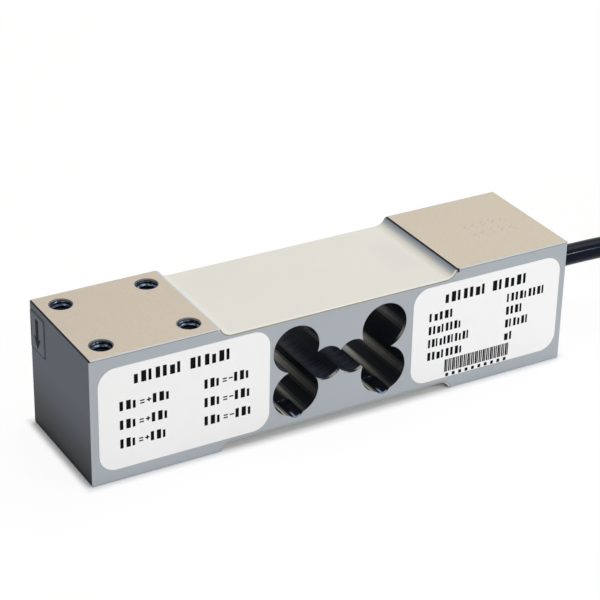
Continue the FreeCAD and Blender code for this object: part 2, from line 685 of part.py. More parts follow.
def build():
    nodes = {"spring_element": spring_element()}

    gauges = {"load_side": strain_gauge(-1), "fixed_side": strain_gauge(1)}
    compensators = {"zero_compensator": compensator(1), "span_compensator": compensator(-1)}
    leads = gauge_leads()
    cores = inner_cores()
    nodes["upper_terminal_board"] = upper_board()
    nodes["lower_terminal_board"] = mirrored_down(terminal_board())
    for place, gauge in gauges.items():
        nodes["upper_gauge_" + place] = gauge
        nodes["lower_gauge_" + place] = mirrored_down(gauge)
    nodes.update(compensators)
    nodes["upper_gauge_leads"] = leads
    nodes["lower_gauge_leads"] = mirrored_down(leads)
    nodes["crossover_wires"] = crossover_wires()
    nodes["inner_cores"] = cores

    bonded = list(gauges.values()) + [leads, terminal_board()]
    nodes["upper_potting"] = potting(bonded + list(compensators.values()))
    nodes["lower_potting"] = mirrored_down(potting(bonded))

    nodes["wiring_label"] = front_label(
        LABEL_END_GAP - BAR_END, WIRING_LABEL_LENGTH, WIRING_LABEL_HEIGHT)
    nodes["rating_label"] = front_label(
        BAR_END - LABEL_END_GAP - RATING_LABEL_LENGTH, RATING_LABEL_LENGTH, RATING_LABEL_HEIGHT)
    nodes["arrow_label"] = arrow_label()

    nodes["cable_bush"] = cable_bush()
    nodes["inner_cable"] = inner_cable()
    nodes["bore_sealant"] = bore_sealant()

    run = hank_run(rounded_route(LEAD_ROUTE)[0].Length)
    print("hank runs %.1f mm" % run)
    hank = cable_hank(run)
    nodes["cable_hank"] = hank
    nodes["cable_lead"] = cable_lead(hank)
    nodes["hank_tie_near"] = tie(HANK_NEAR_FOLD_X + HANK_TAIL / 2, -1, HANK_TOP)
    nodes["hank_tie_far"] = tie(HANK_NEAR_FOLD_X + run / 2, 1, HANK_SHELF)
    nodes["jacket_sleeve"] = sleeve()
    nodes.update(stripped_cores())
    return nodes


os.makedirs("parts", exist_ok=True)
for name, shape in build().items():
    shape.exportStep("parts/" + name + ".step")
    print(name, "solids", len(shape.Solids), "valid", shape.isValid(), "volume %.1f" % shape.Volume)
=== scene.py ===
"""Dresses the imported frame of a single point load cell: finishes, print, threads, cable and a plain stage."""

import json
import math

import bmesh
import bpy
from mathutils import Matrix, Vector


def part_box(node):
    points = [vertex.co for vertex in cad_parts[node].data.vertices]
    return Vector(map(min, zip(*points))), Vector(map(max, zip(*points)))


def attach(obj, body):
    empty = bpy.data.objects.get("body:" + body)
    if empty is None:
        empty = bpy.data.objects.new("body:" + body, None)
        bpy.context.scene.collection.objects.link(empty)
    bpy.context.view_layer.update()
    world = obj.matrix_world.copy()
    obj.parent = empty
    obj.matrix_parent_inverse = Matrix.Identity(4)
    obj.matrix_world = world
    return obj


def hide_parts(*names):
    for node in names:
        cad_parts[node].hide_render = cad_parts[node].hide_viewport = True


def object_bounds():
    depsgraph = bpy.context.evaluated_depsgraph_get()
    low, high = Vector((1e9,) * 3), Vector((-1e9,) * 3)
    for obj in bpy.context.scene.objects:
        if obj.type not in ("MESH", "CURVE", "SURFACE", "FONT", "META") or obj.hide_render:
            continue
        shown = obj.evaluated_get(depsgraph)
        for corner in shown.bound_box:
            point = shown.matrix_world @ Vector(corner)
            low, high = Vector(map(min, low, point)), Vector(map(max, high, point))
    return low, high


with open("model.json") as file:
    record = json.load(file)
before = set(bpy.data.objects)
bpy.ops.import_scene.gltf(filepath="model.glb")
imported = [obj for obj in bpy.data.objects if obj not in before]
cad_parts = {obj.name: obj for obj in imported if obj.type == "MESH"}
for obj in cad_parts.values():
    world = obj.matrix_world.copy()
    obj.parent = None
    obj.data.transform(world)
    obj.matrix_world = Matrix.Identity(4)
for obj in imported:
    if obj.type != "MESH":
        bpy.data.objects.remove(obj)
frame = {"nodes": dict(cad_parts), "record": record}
CAD_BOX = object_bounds()

bl_info = {
    "name": "Single Point Load Cell",
    "version": (1, 0, 0),
    "blender": (4, 2, 0),
    "location": "View3D > Sidebar > Load Cell",
    "description": "Dresses a single point load cell and sets its studio",
    "category": "Object",
}

MM = 0.001
RECORD = frame["record"]
MOUNTS = {mount["name"]: mount for mount in RECORD["mounts"]}

# Places on the bar that its finishes follow.
BAR_LOW, BAR_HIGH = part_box("spring_element")
BAR_MIDDLE = BAR_HIGH.z / 2
POTTING_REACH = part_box("upper_potting")[1].x
RECESS_REACH = 37.5 * MM  # from the bar's middle to the end of a recess
RECESS_DEPTH = 3.0 * MM
OPENINGS = {opening["name"]: opening["box_m"] for opening in RECORD["physics"]["openings"]}
BORE_LOW, BORE_HIGH = (Vector(corner) for corner in OPENINGS["lower_bore_fixed_side"])
BORE_CENTRE = (BORE_LOW + BORE_HIGH) / 2
BORE_RADIUS = 7.15 * MM
BORE_FLOOR = BORE_CENTRE.z - BORE_RADIUS
TRIM_SHIFT = 0.3 * MM  # from a lower bore's middle to its trimming cut, towards the fixed end


# ---------------- finishes

FINE_GRAIN_SHARE = 0.55  # how much each finer layer of grain counts against the one before it
BACKGROUND_RAYS = ("Is Camera Ray", "Is Glossy Ray", "Is Transmission Ray")


class NodeTree:
    """Short ways to add nodes to one node tree and link them."""

    def __init__(self, tree):
        self.nodes = tree.nodes
        self.links = tree.links

    def feed(self, socket, value):
        if isinstance(value, bpy.types.NodeSocket):
            self.links.new(value, socket)
        else:
            socket.default_value = value

    def calculate(self, kind, *values, clamped=False):
        """The result of one Math node."""
        node = self.nodes.new("ShaderNodeMath")
        node.operation = kind
        node.use_clamp = clamped
        for socket, value in zip(node.inputs, values):
            self.feed(socket, value)
        return node.outputs[0]

    def times(self, first, *others):
        """All the values multiplied."""
        for other in others:
            first = self.calculate("MULTIPLY", first, other)
        return first

    def highest(self, first, *others):
        for other in others:
            first = self.calculate("MAXIMUM", first, other)
        return first

    def rest(self, value):
        """What value leaves of one."""
        return self.calculate("SUBTRACT", 1.0, value)

    def distance(self, value, middle=0.0):
        """How far value is from middle, on either side."""
        return self.calculate("ABSOLUTE", self.calculate("SUBTRACT", value, middle))

    def span(self, value, low, high):
        """Runs from low to high as value goes from 0 to 1."""
        node = self.nodes.new("ShaderNodeMapRange")
        self.feed(node.inputs["Value"], value)
        node.inputs["To Min"].default_value = low
        node.inputs["To Max"].default_value = high
        return node.outputs["Result"]

    def band(self, value, start, end):
        """Runs smoothly from 0 to 1 as value goes from start to end, whichever of the two is higher."""
        node = self.nodes.new("ShaderNodeMapRange")
        node.interpolation_type = "SMOOTHSTEP"
        self.feed(node.inputs["Value"], value)
        node.inputs["From Min"].default_value = start
        node.inputs["From Max"].default_value = end
        return node.outputs["Result"]

    def near(self, value, limit, start, end):
        """Runs smoothly from 0 to 1 as value goes from start to end short of limit."""
        return self.band(value, limit - start, limit - end)

    def background_rays(self):
        """1 for rays that show the background: the camera's, and those off metal and through glass."""
        path = self.nodes.new("ShaderNodeLightPath")
        return self.highest(*(path.outputs[ray] for ray in BACKGROUND_RAYS))


class Finish(NodeTree):
    """A node material in the making: one Principled shader and the textures that feed it."""

    def __init__(self, name, roughness=0.5, metallic=0.0, specular=0.5):
        self.material = bpy.data.materials.new(name)
        self.material.use_nodes = True
        super().__init__(self.material.node_tree)
        self.shader = self.nodes["Principled BSDF"]
        self.shader.inputs["Roughness"].default_value = roughness
        self.shader.inputs["Metallic"].default_value = metallic
        self.shader.inputs["Specular IOR Level"].default_value = specular
        self.place = self.nodes.new("ShaderNodeTexCoord").outputs["Object"]

    def split(self, vector):
        """The three parts of a vector."""
        node = self.nodes.new("ShaderNodeSeparateXYZ")
        self.links.new(vector, node.inputs[0])
        return node.outputs

    def stretched(self, stretch):
        node = self.nodes.new("ShaderNodeMapping")
        self.links.new(self.place, node.inputs["Vector"])
        node.inputs["Scale"].default_value = stretch
        return node.outputs["Vector"]

    def grain(self, size, detail=3.0, stretch=(1, 1, 1)):
        """Noise whose grains are about size metres across."""
        node = self.nodes.new("ShaderNodeTexNoise")
        self.links.new(self.stretched(stretch), node.inputs["Vector"])
        node.inputs["Scale"].default_value = 1 / size
        node.inputs["Detail"].default_value = detail
        node.inputs["Roughness"].default_value = FINE_GRAIN_SHARE
        return node.outputs["Fac"]

    def mix(self, amount, first, second):
        """The first colour where amount is 0 and the second where it is 1."""
        node = self.nodes.new("ShaderNodeMix")
        node.data_type = "RGBA"
        self.feed(node.inputs["Factor"], amount)
        self.feed(node.inputs["A"], first if isinstance(first, bpy.types.NodeSocket) else opaque(first))
        self.feed(node.inputs["B"], second if isinstance(second, bpy.types.NodeSocket) else opaque(second))
        return node.outputs["Result"]

    def shades(self, amount, colour, low, high):
        """One colour at low to high times its brightness as amount goes from 0 to 1."""
        return self.mix(amount, shaded(colour, low), shaded(colour, high))

    def colour(self, value):
        self.feed(self.shader.inputs["Base Color"], value)

    def gloss(self, value, dull, bright):
        """Roughness that runs from bright to dull as value goes from 0 to 1."""
        self.feed(self.shader.inputs["Roughness"], self.span(value, bright, dull))

    def relief(self, height, depth, strength):
        """Bump of about depth metres, on top of any bump made before."""
        node = self.nodes.new("ShaderNodeBump")
        node.inputs["Strength"].default_value = strength
        node.inputs["Distance"].default_value = depth
        self.links.new(height, node.inputs["Height"])
        socket = self.shader.inputs["Normal"]
        if socket.is_linked:
            self.links.new(socket.links[0].from_socket, node.inputs["Normal"])
        self.links.new(node.outputs["Normal"], socket)


class Spot:
    """Where a point of a piece lies and which way its surface faces, for nodes to work with."""

    def __init__(self, finish):
        self.x, self.y, self.z = finish.split(finish.place)
        self.out_x = finish.distance(self.x)
        self.out_y = finish.distance(self.y)
        normal = finish.nodes.new("ShaderNodeNewGeometry").outputs["True Normal"]
        self.facing_x, self.facing_y, self.facing_z = finish.split(normal)


def opaque(colour):
    return (colour[0], colour[1], colour[2], 1.0)


def shaded(colour, share):
    return tuple(part * share for part in colour[:3])


# How squarely a surface faces a way: where that starts to count and where it counts in full.
SQUARELY = (0.80, 0.97)
END_FACE = (2 * MM, 1 * MM)  # how far in from the bar's ends an end face may lie
FLOOR_SHADE_RISE = 23 * MM  # how far up an end face the floor's shade goes


def bar_faces(finish, look, spot, speckle):
    """Colour of the outside by which way each face looks: warm pads, their milled tone partly painted warm
    light from above, cool drawn sides, and end faces in painted shade that deepens towards the floor.
    """
    level = finish.band(finish.distance(spot.facing_z), *SQUARELY)
    ends = finish.times(finish.band(finish.distance(spot.facing_x), *SQUARELY),
                        finish.near(spot.out_x, BAR_HIGH.x, *END_FACE))
    drift = finish.grain(28 * MM, 2.0)
    side = finish.shades(drift, look.side_colour, 0.95, 1.05)
    # Pads: milled tone with painted warm light from above.
    pad = finish.shades(speckle, look.pad_and_warm_light_colour, 0.88, 1.12)
    rise = finish.band(spot.z, 0, FLOOR_SHADE_RISE)
    # Painted shade: end faces dark all over, darker still towards the floor as painted floor shade.
    end = finish.mix(rise, shaded(look.painted_shade_colour, 0.3), look.shaded_end_colour)
    return finish.mix(ends, finish.mix(level, side, pad), end)


# Strips beside the bar's edges: how far in from a face each starts, and where it counts in full.
TOP_EDGE = (0.65 * MM, 0.50 * MM)
SIDE_EDGE = (0.28 * MM, 0.18 * MM)
END_EDGE = (0.45 * MM, 0.30 * MM)
CLEAR_OF_EDGE = (0.5 * MM, 0.6 * MM)
LIP_LEVEL = (1.2 * MM, 1.0 * MM)
LIP_WIDTH = (0.6 * MM, 0.5 * MM)  # on either side of the potting's end
SCRIBED_SHARE = 0.55  # how dark the line beside a pad's long edges is


def bar_edges(finish, look, spot, colour):
    """Broken edges: lighter along the sides, the end faces' upright edges and the load pad's lip, as burnished
    wear with a painted highlight; black as painted shade over the end faces' top edges, round the tapped holes'
    mouths, along the pads' inner edges and at the fixed pad's lip.
    """
    near_top = finish.near(spot.z, BAR_HIGH.z, *TOP_EDGE)
    near_side = finish.near(spot.out_y, BAR_HIGH.y, *SIDE_EDGE)
    near_end = finish.near(spot.out_x, BAR_HIGH.x, *END_EDGE)
    not_level = finish.band(spot.facing_z, 0.90, 0.80)
    sloping = finish.times(not_level, finish.band(spot.facing_z, 0.4, 0.6))
    pads = finish.band(spot.out_x, RECESS_REACH - 0.5 * MM, RECESS_REACH + 0.5 * MM)
    mid_pad = finish.times(pads, finish.near(spot.out_y, BAR_HIGH.y, *CLEAR_OF_EDGE),
                           finish.near(spot.out_x, BAR_HIGH.x, *CLEAR_OF_EDGE))
    lip = finish.times(finish.near(spot.z, BAR_HIGH.z, *LIP_LEVEL), not_level,
                       finish.band(finish.distance(spot.out_x, POTTING_REACH), *LIP_WIDTH))
    fixed_lip = finish.times(lip, finish.calculate("GREATER_THAN", spot.x, 0.0))
    for amount, edge_colour in (
        (finish.times(near_top, near_side, pads, SCRIBED_SHARE), shaded(look.side_colour, 0.35)),
        # Burnished wear with a painted highlight on the broken edges and at the load pad's lip.
        (finish.times(sloping, near_side, pads), look.burnish_and_highlight_colour),
        (finish.times(near_side, near_end, not_level), look.burnish_and_highlight_colour),
        # Painted shade on the end faces' top edges, round the holes' mouths, along the pads' inner edges and at
        # the fixed pad's lip.
        (finish.times(near_end, near_top, not_level), look.painted_shade_colour),
        (finish.times(near_top, not_level, mid_pad), shaded(look.side_colour, 0.3)),
        (lip, look.burnish_and_highlight_colour),
        (fixed_lip, look.painted_shade_colour),
    ):
        colour = finish.mix(amount, colour, edge_colour)
    return colour


# Painted reflections streaking along a bore's wall: where each starts, is brightest and ends, in degrees above
# the place where the wall is upright, so that -90 is the bore's floor.
MAIN_STREAK = (-33, -16, 2)
LOW_STREAK = (-78, -63, -57)
FAINT_STREAKS = (((1, 10, 19), 0.15), ((-67, -55, -47), 0.12))  # each with its strength
LOBE_GLOW = (-122, -85, -40)
LOBE_EDGE_HIGHLIGHT = (-84, -62, -34)
BORE_EDGE_HIGHLIGHT = (-56, -34, -8)
UPPER_LOSS = 0.4  # how much weaker streaks are in the upper bores
INWARD_LOSS = 0.5  # and how much more so on their walls next to the bar's middle
STREAK_LENGTH = (-20 * MM, 14 * MM)  # across the bar, where a streak is weakest and strongest
STREAK_LOW = 0.07  # what is left of it where it is weakest
LOW_WALL = (13.6 * MM, 13.2 * MM)  # levels just under the lobes, where only the lower bores are
LOBE_REACH = (9.6 * MM, 9.2 * MM)  # along the bar, on either side of its middle
LOBE_LEVEL = (13.3 * MM, 13.6 * MM)  # just under the lobes too
EDGE_HIGHLIGHT_DEPTH = (1.3 * MM, 0.9 * MM)  # behind the front face, as are the next two
TRIM_RIDGE_DEPTH = (4.05 * MM, 2.05 * MM)
TRIM_MOUTH_DEPTH = (0.9 * MM, 0.5 * MM)
TRIM_RIDGE_WIDTH = (0.45 * MM, 0.15 * MM)  # on either side of a trimming cut's middle
TRIM_MOUTH_WIDTH = (1.7 * MM, 1.3 * MM)
BORE_EDGE_HIGHLIGHT_START = (15.5 * MM, 17.0 * MM)  # along the bar


def bore_walls(finish, look, spot, ring):
    """Colour inside the holes: nearly black as painted shade, with long painted reflections at set places round
    the walls, painted highlights on their front edges and painted glints at the trimming cuts.
    """
    # Opposite walls have the same streaks, turned half round the upright axis.
    turned = finish.times(finish.calculate("SIGN", spot.facing_x), -1.0)
    across = finish.times(spot.y, turned)
    along = finish.times(spot.x, turned)
    angle = finish.calculate("ARCTAN2", finish.times(spot.facing_z, -1.0), finish.distance(spot.facing_x))
    upper = finish.band(spot.z, BAR_MIDDLE - 0.2 * MM, BAR_MIDDLE + 0.2 * MM)
    inward = finish.times(upper, finish.band(along, 0.3 * MM, -0.3 * MM))
    lobes = finish.times(finish.band(spot.out_x, *LOBE_REACH), finish.band(spot.z, *LOBE_LEVEL))
    trimmed = finish.band(spot.z, BORE_FLOOR + 0.05 * MM, BORE_FLOOR - 0.10 * MM)

    def streak(place, *shares):
        """One streak, weakened by every share."""
        start, crest, end = (math.radians(degrees) for degrees in place)
        return finish.times(finish.band(angle, start, crest), finish.band(angle, end, crest), *shares)

    deeper = finish.span(finish.band(across, *STREAK_LENGTH), STREAK_LOW, 1.0)
    weaker = finish.calculate(
        "SUBTRACT", finish.rest(finish.times(upper, UPPER_LOSS)), finish.times(inward, INWARD_LOSS))
    light = finish.highest(
        streak(MAIN_STREAK, deeper, weaker),
        streak(LOW_STREAK, deeper, finish.band(spot.z, *LOW_WALL)),
        *(streak(place, inward, share) for place, share in FAINT_STREAKS))
    light = finish.times(light, finish.rest(trimmed))
    light = finish.calculate("MULTIPLY", light, finish.span(ring, 0.65, 1.35), clamped=True)
    # Painted shade on the walls, with real machining rings.
    wall = finish.shades(ring, look.painted_shade_colour, 0.6, 1.4)
    ringed = finish.shades(finish.band(ring, 0.35, 0.65), look.lobe_reflection_colour, 0.5, 1.5)
    # Painted reflection on the lobes' ringed walls.
    wall = finish.mix(finish.times(lobes, streak(LOBE_GLOW)), wall, ringed)
    # Painted reflections streaking along the walls.
    wall = finish.mix(light, wall, look.bore_reflection_colour)

    depth = finish.calculate("SUBTRACT", spot.y, BAR_LOW.y)
    edge = finish.band(depth, *EDGE_HIGHLIGHT_DEPTH)
    # Painted highlights along the front edges of the lobes and the upper bores.
    edge_highlight = finish.highest(
        streak(LOBE_EDGE_HIGHLIGHT, edge, lobes),
        streak(BORE_EDGE_HIGHLIGHT, edge, upper, 0.6, finish.band(spot.x, *BORE_EDGE_HIGHLIGHT_START)))
    wall = finish.mix(edge_highlight, wall, look.bore_reflection_colour)

    # Painted glints on the ridge and at the mouth of each trimming cut.
    aside = finish.distance(finish.distance(spot.x, TRIM_SHIFT), BORE_CENTRE.x)
    glint = finish.highest(
        finish.times(finish.band(aside, *TRIM_RIDGE_WIDTH), finish.band(depth, *TRIM_RIDGE_DEPTH)),
        finish.times(finish.band(aside, *TRIM_MOUTH_WIDTH), finish.band(depth, *TRIM_MOUTH_DEPTH)))
    return finish.mix(finish.times(trimmed, glint), wall, look.cut_glint_colour)


INSIDE_FADE = 0.04 * MM  # over which the outside's finish gives way to the inside's


def bar_finish(look):
    """Milled aluminium: warm on the pads, cool on the drawn sides, with painted shade in the bores and on the
    end faces, and painted highlights, reflections and glints.
    """
    finish = Finish("bar_aluminium", metallic=look.bar_metallic, specular=0.1)
    spot = Spot(finish)
    speckle = finish.grain(0.45 * MM, 4.0)
    drawn = finish.grain(0.5 * MM, stretch=(0.04, 1, 1))
    ring = finish.grain(0.42 * MM, 2.0, stretch=(0.05, 1, 0.05))

    inside = finish.times(*(finish.near(value, limit, skin, skin + INSIDE_FADE) for value, limit, skin in (
        (spot.out_y, BAR_HIGH.y, 0.08 * MM),
        (spot.out_x, BAR_HIGH.x, 0.35 * MM),
        (spot.z, BAR_HIGH.z, 0.35 * MM),
        (finish.times(spot.z, -1.0), 0.0, 0.2 * MM),
    )))
    recess = finish.times(
        finish.near(spot.out_x, RECESS_REACH, -0.1 * MM, 0.0),
        finish.near(finish.distance(spot.z, BAR_MIDDLE), BAR_MIDDLE - RECESS_DEPTH, 0.45 * MM, 0.25 * MM))
    inside = finish.times(inside, finish.rest(recess))
    outside = bar_edges(finish, look, spot, bar_faces(finish, look, spot, speckle))
    finish.colour(finish.mix(inside, outside, bore_walls(finish, look, spot, ring)))

    worn = finish.calculate("MULTIPLY_ADD", speckle, 0.5, finish.times(drawn, 0.5))
    finish.gloss(worn, look.bar_roughness + 0.10, look.bar_roughness - 0.10)
    finish.relief(speckle, 0.010 * MM, 0.5)
    finish.relief(drawn, 0.006 * MM, 0.4)
    return finish.material


THREAD_MOUTH = (2.6 * MM, 1.0 * MM)  # below a pad, where the thread starts to shine and does so in full


def thread_finish(look):
    """The tapped threads: a painted highlight at the mouth, painted shade further down."""
    finish = Finish("tapped_thread", metallic=0.9)
    drift = finish.grain(1.2 * MM)
    level = finish.distance(finish.split(finish.place)[2], BAR_MIDDLE)
    mouth = finish.near(level, BAR_MIDDLE, *THREAD_MOUTH)
    # Painted shade deep in the hole, painted highlight near its mouth.
    shadowy = finish.shades(drift, look.painted_shade_colour, 0.4, 2.0)
    bright = finish.mix(finish.band(drift, 0.48, 0.62),
                        shaded(look.lobe_reflection_colour, 0.7), shaded(look.cut_glint_colour, 0.45))
    finish.colour(finish.mix(mouth, shadowy, bright))
    finish.gloss(drift, 0.45, 0.25)
    return finish.material


# Strips of painted shade on the potting at the recess ends: how far in from its end each starts, and is full.
FIXED_RIM = (2.4 * MM, -0.1 * MM)
FIXED_LIP = (1.0 * MM, 0.1 * MM)
LOAD_RIM = (0.7 * MM, 0.1 * MM)


def potting_finish(look):
    """Soft silicone: off-white and slightly cloudy, with bluish painted shade where it climbs the recess ends,
    a painted highlight on its sloping edge and painted shadow on its side.
    """
    finish = Finish("potting_silicone", roughness=0.55, specular=0.25)
    spot = Spot(finish)
    clouds = finish.grain(14 * MM)
    sideways = finish.distance(spot.facing_y)
    upper = finish.calculate("GREATER_THAN", spot.z, BAR_MIDDLE)
    # Painted brownish shadow on the upper potting's side face; the lower one's side face takes a darkened side
    # grey.
    side_face_colour = finish.mix(upper, shaded(look.side_colour, 0.8), look.potting_side_shadow_colour)
    colour = finish.shades(clouds, look.potting_colour, 0.97, 1.03)
    for amount, strip_colour in (
        # Painted shade at the recess ends, darkest at the fixed pad's lip.
        (finish.near(spot.x, POTTING_REACH, *FIXED_RIM), shaded(look.rim_shade_colour, 0.5)),
        (finish.near(finish.times(spot.x, -1.0), POTTING_REACH, *LOAD_RIM), shaded(look.rim_shade_colour, 1.3)),
        (finish.near(spot.x, POTTING_REACH, *FIXED_LIP), shaded(look.painted_shade_colour, 1.5)),
        # Painted highlight on the potting's sloping edge.
        (finish.band(sideways, 0.4, 0.6), shaded(look.potting_colour, 1.10)),
        (finish.band(sideways, 0.85, 0.95), side_face_colour),
    ):
        colour = finish.mix(amount, colour, strip_colour)
    finish.colour(colour)
    finish.gloss(clouds, 0.64, 0.50)
    finish.relief(clouds, 0.25 * MM, 0.25)
    finish.shader.inputs["Subsurface Weight"].default_value = 0.15
    finish.shader.inputs["Subsurface Scale"].default_value = 1 * MM
    finish.shader.inputs["Subsurface Radius"].default_value = (1.0, 0.8, 0.6)
    return finish.material


def label_finish(look):
    """White polyester film with a faint coated texture."""
    finish = Finish("label_film")
    coat = finish.grain(0.9 * MM)
    drift = finish.grain(30 * MM, 1.0)
    finish.colour(finish.shades(drift, look.label_colour, 0.985, 1.015))
    finish.gloss(coat, 0.48, 0.34)
    finish.relief(coat, 0.004 * MM, 0.3)
    return finish.material


def arrow_film_finish(look):
    """Grey film in the end face's painted shade, so that it is hardly seen against it, and darker towards the
    floor with the same painted floor shade.
    """
    finish = Finish("arrow_film", roughness=0.4, metallic=look.bar_metallic, specular=0.1)
    rise = finish.band(finish.split(finish.place)[2], 0, FLOOR_SHADE_RISE)
    coat = finish.grain(0.9 * MM)
    film = finish.shades(coat, look.shaded_arrow_film_colour, 0.96, 1.04)
    finish.colour(finish.mix(rise, shaded(look.shaded_arrow_film_colour, 0.1), film))
    finish.gloss(coat, 0.5, 0.36)
    return finish.material


def ink_finish(look):
    """Black thermal print, a little uneven."""
    finish = Finish("print_ink", specular=0.04)
    patches = finish.grain(0.35 * MM)
    finish.colour(finish.shades(patches, look.ink_colour, 0.8, 1.6))
    finish.gloss(patches, 0.6, 0.4)
    return finish.material


def jacket_finish(look):
    """Glossy black cable jacket with a fine extruded texture."""
    finish = Finish("cable_jacket", specular=0.08)
    lay = finish.grain(2.5 * MM, 2.0)
    fine = finish.grain(0.3 * MM)
    finish.colour(finish.shades(lay, look.jacket_colour, 0.8, 1.3))
    finish.gloss(fine, look.jacket_roughness + 0.04, look.jacket_roughness)
    finish.relief(lay, 0.05 * MM, 0.25)
    return finish.material


def moulded_finish(name, colour, roughness):
    """A moulded, drawn or printed part in one colour, with a fine skin."""
    finish = Finish(name)
    skin = finish.grain(0.4 * MM)
    finish.colour(finish.shades(skin, colour, 0.88, 1.12))
    finish.gloss(skin, roughness + 0.08, roughness - 0.08)
    finish.relief(skin, 0.02 * MM, 0.3)
    return finish.material


def tinned_finish():
    """Tinned copper wire."""
    finish = Finish("tinned_copper", metallic=1.0)
    tin = finish.grain(0.6 * MM, 2.0)
    finish.colour(finish.mix(tin, (0.60, 0.58, 0.55), (0.78, 0.76, 0.74)))
    finish.gloss(tin, 0.4, 0.25)
    return finish.material


def foil_finish():
    """Amber gauge film with the fine loops of the metal grid across its length."""
    finish = Finish("gauge_film")
    loops = finish.nodes.new("ShaderNodeTexWave")
    loops.bands_direction = "Y"
    loops.inputs["Scale"].default_value = 1 / (1.4 * MM)
    finish.links.new(finish.place, loops.inputs["Vector"])
    grid = finish.band(loops.outputs["Fac"], 0.35, 0.65)
    finish.colour(finish.mix(grid, (0.55, 0.26, 0.07), (0.62, 0.48, 0.30)))
    finish.gloss(grid, 0.25, 0.4)
    return finish.material


def paint(material, *nodes):
    """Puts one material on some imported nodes."""
    for node in nodes:
        slots = frame["nodes"][node].data.materials
        slots.clear()
        slots.append(material)


# ---------------- mesh pieces

UP = Vector((0, 0, 1))
ALONG_BAR = Vector((1, 0, 0))
ACROSS_BAR = Vector((0, 1, 0))


def new_piece(name, mesh, material):
    piece = bpy.data.objects.new(name, mesh)
    bpy.context.scene.collection.objects.link(piece)
    mesh.materials.append(material)
    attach(piece, "root")
    return piece


def mesh_from(name, builder):
    """A mesh filled by builder(bm), with outward faces."""
    bm = bmesh.new()
    builder(bm)
    bmesh.ops.recalc_face_normals(bm, faces=bm.faces)
    mesh = bpy.data.meshes.new(name)
    bm.to_mesh(mesh)
    bm.free()
    return mesh


def add_prism(bm, outline, place, depth):
    """A thin slab: the (across, up) outline, put in place by the matrix and raised by depth."""
    low = [bm.verts.new(place @ Vector((u, v, 0))) for u, v in outline]
    high = [bm.verts.new(place @ Vector((u, v, depth))) for u, v in outline]
    bm.faces.new(low)
    bm.faces.new(high[::-1])
    for k in range(len(outline)):
        j = (k + 1) % len(outline)
        bm.faces.new((low[k], low[j], high[j], high[k]))


def face_plane(origin, across, up):
    """The matrix of a flat place with its own across and up directions; depth comes out of it."""
    out = across.cross(up)
    return Matrix.Translation(origin) @ Matrix((across, up, out)).transposed().to_4x4()


def label_corner(node):
    """The upper left corner of a front label's face."""
    low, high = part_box(node)
    return face_plane(Vector((low.x, low.y, high.z)), ALONG_BAR, UP)


BLOCK_WIDTHS = (0.62, 0.42, 0.70, 0.54)  # of the room that each block of a word has
BLOCK_DROPS = (0.0, 0.0, 0.16, 0.0, 0.0)  # how much lower than the word a block is


class Print:
    """Raised ink on a flat place: all sizes are in millimetres, to the right of its origin and down."""

    def __init__(self, bm, place, look):
        self.bm = bm
        self.place = place
        self.depth = look.ink_depth
        self.stroke = look.stroke / MM

    def shape(self, outline):
        add_prism(self.bm, [(u * MM, v * MM) for u, v in outline], self.place, self.depth)

    def bar(self, left, top, width, height):
        right, bottom = left + width, top + height
        self.shape([(left, -bottom), (right, -bottom), (right, -top), (left, -top)])

    def box(self, left, top, width, height, stroke):
        """An open box, printed as four bars."""
        self.bar(left, top, width, stroke)
        self.bar(left, top + height - stroke, width, stroke)
        for side in (left, left + width - stroke):
            self.bar(side, top + stroke, stroke, height - 2 * stroke)

    def word(self, left, top, length, height, blocks):
        """A line of print with its meaning left out: solid blocks of changing width and height."""
        pitch = length / blocks
        for k in range(blocks):
            width = pitch * BLOCK_WIDTHS[(3 * k + blocks) % len(BLOCK_WIDTHS)]
            drop = height * BLOCK_DROPS[(2 * k + blocks) % len(BLOCK_DROPS)]
            self.bar(left + k * pitch, top + drop, width, height - drop)

    def pair(self, left, top, length, height, plus):
        """Two short words joined by an equals sign and a plus or minus sign."""
        unit = length / 8
        word = 3 * unit
        sign = 0.68 * unit
        gap = 0.08 * unit
        half = (sign - self.stroke) / 2
        self.word(left, top, word, height, 3)
        self.word(left + length - word, top, word, height, 3)
        equals = left + word + gap
        for level in (0.34, 0.62):
            self.bar(equals, top + level * height, sign, self.stroke)
        start = equals + unit
        line = top + (height - self.stroke) / 2
        self.bar(start, line, sign, self.stroke)
        if plus:
            for arm in (line - half, line + self.stroke):
                self.bar(start + half, arm, self.stroke, half)


# ---------------- settings


def colour_setting(name, description, default):
    return bpy.props.FloatVectorProperty(
        name=name, description=description, default=default,
        subtype="COLOR", size=3, min=0.0, max=1.0)


def number_setting(name, description, default, **more):
    return bpy.props.FloatProperty(name=name, description=description, default=default, min=0.0, **more)


def length_setting(name, description, default):
    return number_setting(name, description, default, subtype="DISTANCE", unit="LENGTH", precision=5)


def share_setting(name, description, default):
    return number_setting(name, description, default, max=1.0, subtype="FACTOR")


def power_setting(name, description, default):
    return number_setting(name, description, default, unit="POWER")


